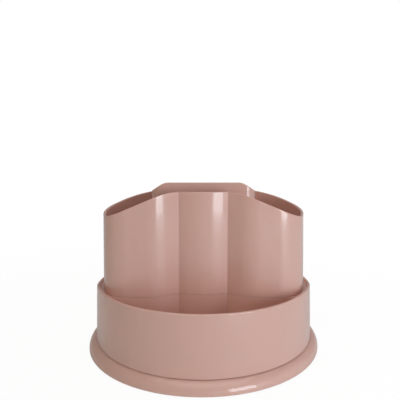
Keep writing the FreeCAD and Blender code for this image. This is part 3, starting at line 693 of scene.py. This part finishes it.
    def wall_angles(self) -> np.ndarray:
        """Angles of the wall's sections, crowded at the grooves, the flank rounds and the corners.

        The ones at a groove lie at cubes of even steps, so they crowd towards it.

        Returns:
            The angles in radians, in order and each once.
        """
        even = np.linspace(-math.pi, math.pi, self.even_sections, endpoint=False)
        groove_x, groove_y = self.groove_place(0.0)
        crowded = self.groove_spread * np.linspace(-1.0, 1.0, self.groove_sections) ** 3
        groove = math.atan2(groove_y, groove_x) + crowded
        flank_x, flank_y = self.flank_end(0.0)
        flank = np.linspace(math.atan2(flank_y, flank_x),
                            math.atan2(-self.side_front, self.side_flat_start), self.flank_sections)
        corner_y = self.corner_round - self.side_front
        corner_x = math.sqrt((self.foot_radius - self.corner_round) ** 2 - corner_y**2)
        corner_start = math.atan2(-self.side_front, corner_x) - self.corner_margin
        corner_end = math.atan2(corner_y, corner_x) + self.corner_margin
        corner = np.linspace(corner_start, corner_end, self.corner_sections)
        right = np.concatenate([groove, flank, corner])
        angles = np.concatenate([even, right, -math.pi - right])
        return np.unique(np.round(angles, self.angle_digits))

    def seat_reach(self, height: np.ndarray | float) -> np.ndarray | float:
        """Distance from the axis to the middle of the tapered round wall, where the well ends.

        Args:
            height: heights above the desk.

        Returns:
            The distances.
        """
        return self.foot_radius - (height - self.deck_height) * math.tan(self.draft) - self.wall / 2

    def path_wall(self, name: str, path: np.ndarray, top: np.ndarray,
                  seated: bool = False) -> bpy.types.Object:
        """Upright wall along an open path with a rounded rim, closed at its ends.

        Each section is offset from the path along its own normal by half the wall to either side.

        Args:
            name: piece name.
            path: plan places of the wall's middle line.
            top: rim height at each place.
            seated: whether both ends follow the middle of the tapered round wall.

        Returns:
            The piece.
        """
        along = np.gradient(path, axis=0)
        along /= np.linalg.norm(along, axis=1, keepdims=True)
        normal = np.stack([-along[:, 1], along[:, 0]], axis=1)
        across, rise = rim_section()
        sides = np.concatenate([[-1.0], across, [1.0]])
        low = np.full((len(top), 1), self.deck_height + self.floor / 2)
        over = (top - self.rim_round)[:, None] + self.rim_round * rise[None, :]
        heights = np.concatenate([low, over, low], axis=1)
        plan = path[:, None, :] + normal[:, None, :] * (self.wall / 2) * sides[None, :, None]
        points = np.concatenate([plan, heights[:, :, None]], axis=-1)
        if seated:
            ends = points[[0, -1]]
            ends[..., 1] = np.sqrt(self.seat_reach(ends[..., 2]) ** 2 - ends[..., 0] ** 2)
            points[[0, -1]] = ends
        rows, columns = points.shape[:2]
        faces = grid_faces(rows, columns, close_rows=False, close_columns=True).tolist()
        faces.append(list(range(columns)))
        faces.append([(rows - 1) * columns + index for index in range(columns)][::-1])
        return mesh_object(name, points.reshape(-1, 3), faces)

    def well_wall(self) -> bpy.types.Object:
        """Tall well: from the rear wall forward, round two corners and back again.

        Its path is a straight side, a quarter circle, a straight front and the mirrored rest.

        Returns:
            The piece.
        """
        half = self.well_half_width - self.wall / 2
        front = -self.well_front + self.wall / 2
        radius = self.well_corner_round - self.wall / 2
        rear = math.sqrt(self.seat_reach(self.rim_rear_height) ** 2 - half**2)
        turn = np.linspace(0.0, math.pi / 2, self.well_turn_steps)
        side_y = np.linspace(rear, front + radius, self.well_side_steps)[:-1]
        corner = np.stack([-half + radius - radius * np.cos(turn),
                           front + radius - radius * np.sin(turn)], axis=1)
        left = np.concatenate([np.stack([np.full_like(side_y, -half), side_y], axis=1), corner])
        middle_x = np.linspace(-half + radius, half - radius, self.well_front_steps)[1:-1]
        middle = np.stack([middle_x, np.full_like(middle_x, front)], axis=1)
        right = left[::-1] * np.array([-1.0, 1.0])
        path = np.concatenate([left, middle, right])
        top = self.blended(path[:, 0], path[:, 1], self.well_rim, -self.well_front)
        return self.path_wall("cup_well_wall", path, top, seated=True)

    def partition(self, side: Side) -> bpy.types.Object:
        """Short wall from the well to a groove.

        Args:
            side: which half it stands in.

        Returns:
            The piece.
        """
        groove_x, groove_y = self.groove_place(self.wall / 2)
        y = np.linspace(groove_y, -self.well_front + self.wall / 2, self.partition_steps)
        path = np.stack([np.full_like(y, side.value * groove_x), y], axis=1)
        name = f"cup_partition_{side.name.lower()}"
        return self.path_wall(name, path, np.full_like(y, self.partition_height))

    def floor_plate(self) -> bpy.types.Object:
        """Floor of the cups: the wall's middle outline, raised by the floor's thickness.

        Returns:
            The piece.
        """
        angle = self.wall_angles()
        radius = self.outline(angle, np.full_like(angle, self.deck_height), self.wall / 2)
        ring = np.stack([radius * np.cos(angle), radius * np.sin(angle)], axis=1)
        count = len(angle)
        low = np.concatenate([ring, np.full((count, 1), self.deck_height)], axis=1)
        high = np.concatenate([ring, np.full((count, 1), self.deck_height + self.floor)], axis=1)
        sides = grid_faces(2, count, close_rows=False, close_columns=True)[:, [0, 3, 2, 1]].tolist()
        faces = sides + [list(range(count))[::-1], list(range(count, 2 * count))]
        return mesh_object("cup_floor_plate", np.concatenate([low, high]), faces, smooth=False)


# --------------------------------------------------------------------------- carried-over nodes


@dataclass
class Dressing:
    """Gives CAD nodes their finishes."""

    plan: dict[str, Finish]
    effects: Effects
    made: dict[str, bpy.types.Material] = field(default_factory=dict)

    def material(self, finish: Finish) -> bpy.types.Material:
        """The finish's material, built once.

        Args:
            finish: the finish.

        Returns:
            Its material.
        """
        if finish.name not in self.made:
            self.made[finish.name] = finish.build(self.effects)
        return self.made[finish.name]

    def apply(self) -> None:
        """Puts each node's finish into its slots."""
        for node, finish in self.plan.items():
            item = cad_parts[node]
            for slot in item.material_slots:
                slot.material = self.material(finish)
            LOG.info("dressed %s with %s", node, finish.name)


NODE_FINISHES = {
    "foot_base": PINK_MOULDING, "drum_shell": PINK_MOULDING, "drum_floor": PINK_MOULDING,
    "drawer_left": PINK_MOULDING, "drawer_right": PINK_MOULDING, "rubber_feet": BLACK_RUBBER,
    "pivot_bush": NATURAL_PLASTIC, "ball_cage": NATURAL_PLASTIC, "bearing_balls": POLISHED_STEEL,
    "pivot_washer": PLATED_STEEL, "pivot_screw": PLATED_STEEL, "floor_screws": PLATED_STEEL,
    "cup_screws": PLATED_STEEL,
}


# --------------------------------------------------------------------------- studio

WHITE = (1.0, 1.0, 1.0)
DAYLIGHT = (0.94, 1.02, 1.08)
LAMPLIGHT = (1.0, 0.86, 0.5)


@dataclass(frozen=True)
class Softbox:
    """Soft rectangular light that faces the object.

    Its azimuth is in degrees to the right of the front; its lengths are in metres: the distance
    from the turning axis, the height of its middle, and its width and tallness.
    """

    name: str
    azimuth: float
    distance: float
    height: float
    width: float
    tallness: float
    radiance: float
    colour: tuple[float, float, float]
    mirrored: bool = True

    def build(self, aim_height: float) -> None:
        """Adds the light, tilted towards a height on the turning axis.

        Args:
            aim_height: that height in metres.
        """
        lamp = bpy.data.lights.new(self.name, "AREA")
        lamp.shape = "RECTANGLE"
        lamp.color = self.colour
        lamp.size, lamp.size_y = self.width, self.tallness
        lamp.energy = self.radiance * math.pi * self.width * self.tallness
        made = bpy.data.objects.new(self.name, lamp)
        turn = math.radians(self.azimuth)
        made.location = (self.distance * math.sin(turn), -self.distance * math.cos(turn),
                         self.height)
        pitch = math.atan2(aim_height - self.height, self.distance)
        made.rotation_euler = (math.pi / 2 + pitch, 0.0, turn)
        made.visible_glossy = self.mirrored
        made.visible_camera = False
        bpy.context.scene.collection.objects.link(made)


SOFTBOXES = (
    Softbox("window_softbox", azimuth=33.0, distance=0.85, height=0.17, width=0.34, tallness=0.34,
            radiance=6.6, colour=DAYLIGHT),
    Softbox("overhead_softbox", azimuth=10.0, distance=0.3, height=1.25, width=1.2, tallness=1.2,
            radiance=1.05, colour=WHITE),
    Softbox("fill_softbox", azimuth=-66.0, distance=1.1, height=0.75, width=0.8, tallness=0.6,
            radiance=1.0, colour=LAMPLIGHT, mirrored=False),
    Softbox("side_softbox", azimuth=80.0, distance=1.2, height=0.35, width=1.4, tallness=0.8,
            radiance=0.3, colour=DAYLIGHT),
    Softbox("rear_softbox", azimuth=165.0, distance=1.2, height=0.6, width=1.2, tallness=0.8,
            radiance=2.2, colour=WHITE, mirrored=False),
)


@dataclass
class Studio:
    """Pale floor, soft lights and the camera, in metres apart from the floor's radius."""

    focal_share: float = 431.909 / 400.0
    sensor: float = 36.0
    axis_shift: float = -10.09 / 400.0
    camera_place: tuple[float, float, float] = (0.00586, -0.3945, 0.1749)
    pitch_down: float = 0.11218
    floor_radius: float = 6000.0
    floor_sides: int = 96
    floor_colour: tuple[float, float, float] = (0.8, 0.8, 0.8)
    floor_roughness: float = 0.7
    floor_glow: float = 1.04
    floor_glow_share: float = 0.9
    floor_fade: tuple[float, float] = (0.25, 1.4)
    sky_light: float = 0.21
    sky_seen: float = 1.0
    aim_height: float = 0.08

    def build(self) -> None:
        """Makes the floor, the lights, the world and the camera."""
        self.floor()
        self.world()
        for softbox in SOFTBOXES:
            softbox.build(self.aim_height)
        self.camera()
        bpy.context.scene.view_settings.view_transform = "Standard"

    def floor(self) -> None:
        """Large pale disc under the object, its shade washed out towards plain white."""
        turn = np.linspace(0.0, 2 * math.pi, self.floor_sides, endpoint=False)
        rim = np.stack([self.floor_radius * np.cos(turn), self.floor_radius * np.sin(turn),
                        np.zeros_like(turn)], axis=1)
        made = mesh_object("studio_floor", rim, [list(range(len(turn)))], smooth=False)
        material = bpy.data.materials.new("studio_floor")
        material.use_nodes = True
        tree = material.node_tree
        shader = tree.nodes["Principled BSDF"]
        shader.inputs["Base Color"].default_value = (*self.floor_colour, 1.0)
        shader.inputs["Roughness"].default_value = self.floor_roughness
        glow = tree.nodes.new("ShaderNodeEmission")
        glow.inputs["Strength"].default_value = self.floor_glow
        length = tree.nodes.new("ShaderNodeVectorMath")
        length.operation = "LENGTH"
        tree.links.new(tree.nodes.new("ShaderNodeTexCoord").outputs["Object"], length.inputs[0])
        fade = tree.nodes.new("ShaderNodeMapRange")
        fade_start, fade_end = self.floor_fade
        fade.inputs["From Min"].default_value = fade_start
        fade.inputs["From Max"].default_value = fade_end
        fade.inputs["To Min"].default_value = self.floor_glow_share
        tree.links.new(length.outputs["Value"], fade.inputs["Value"])
        seen = tree.nodes.new("ShaderNodeMath")
        seen.operation = "MULTIPLY"
        path = tree.nodes.new("ShaderNodeLightPath")
        tree.links.new(path.outputs["Is Camera Ray"], seen.inputs[0])
        tree.links.new(fade.outputs["Result"], seen.inputs[1])
        mix = tree.nodes.new("ShaderNodeMixShader")
        tree.links.new(seen.outputs["Value"], mix.inputs["Fac"])
        tree.links.new(shader.outputs["BSDF"], mix.inputs[1])
        tree.links.new(glow.outputs["Emission"], mix.inputs[2])
        tree.links.new(mix.outputs["Shader"], tree.nodes["Material Output"].inputs["Surface"])
        made.data.materials.append(material)

    def world(self) -> None:
        """Even pale surroundings: white to the camera, dimmer as a light."""
        world = bpy.data.worlds.new("studio_world")
        world.use_nodes = True
        tree = world.node_tree
        strength = tree.nodes.new("ShaderNodeMapRange")
        strength.inputs["To Min"].default_value = self.sky_light
        strength.inputs["To Max"].default_value = self.sky_seen
        path = tree.nodes.new("ShaderNodeLightPath")
        tree.links.new(path.outputs["Is Camera Ray"], strength.inputs["Value"])
        background = tree.nodes["Background"]
        background.inputs["Color"].default_value = (1.0, 1.0, 1.0, 1.0)
        tree.links.new(strength.outputs["Result"], background.inputs["Strength"])
        bpy.context.scene.world = world

    def camera(self) -> None:
        """Camera a little above the rim, looking slightly down."""
        lens = bpy.data.cameras.new("camera")
        lens.sensor_width = self.sensor
        lens.lens = self.sensor * self.focal_share
        lens.shift_x = self.axis_shift
        made = bpy.data.objects.new("camera", lens)
        made.location = self.camera_place
        made.rotation_euler = (math.pi / 2 - self.pitch_down, 0.0, 0.0)
        bpy.context.scene.collection.objects.link(made)
        bpy.context.scene.camera = made


def main() -> None:
    """Builds the looks in order."""
    logging.basicConfig(level=logging.INFO, format="%(message)s")
    effects = Effects(pigment_group(), gloss_group(), ripple_group())
    Studio().build()
    dressing = Dressing(NODE_FINISHES, effects)
    dressing.apply()
    for piece in CupBlock().build(dressing.material(PINK_MOULDING)):
        LOG.info("built %s with %d faces", piece.name, len(piece.data.polygons))


if __name__ == "__main__":
    main()
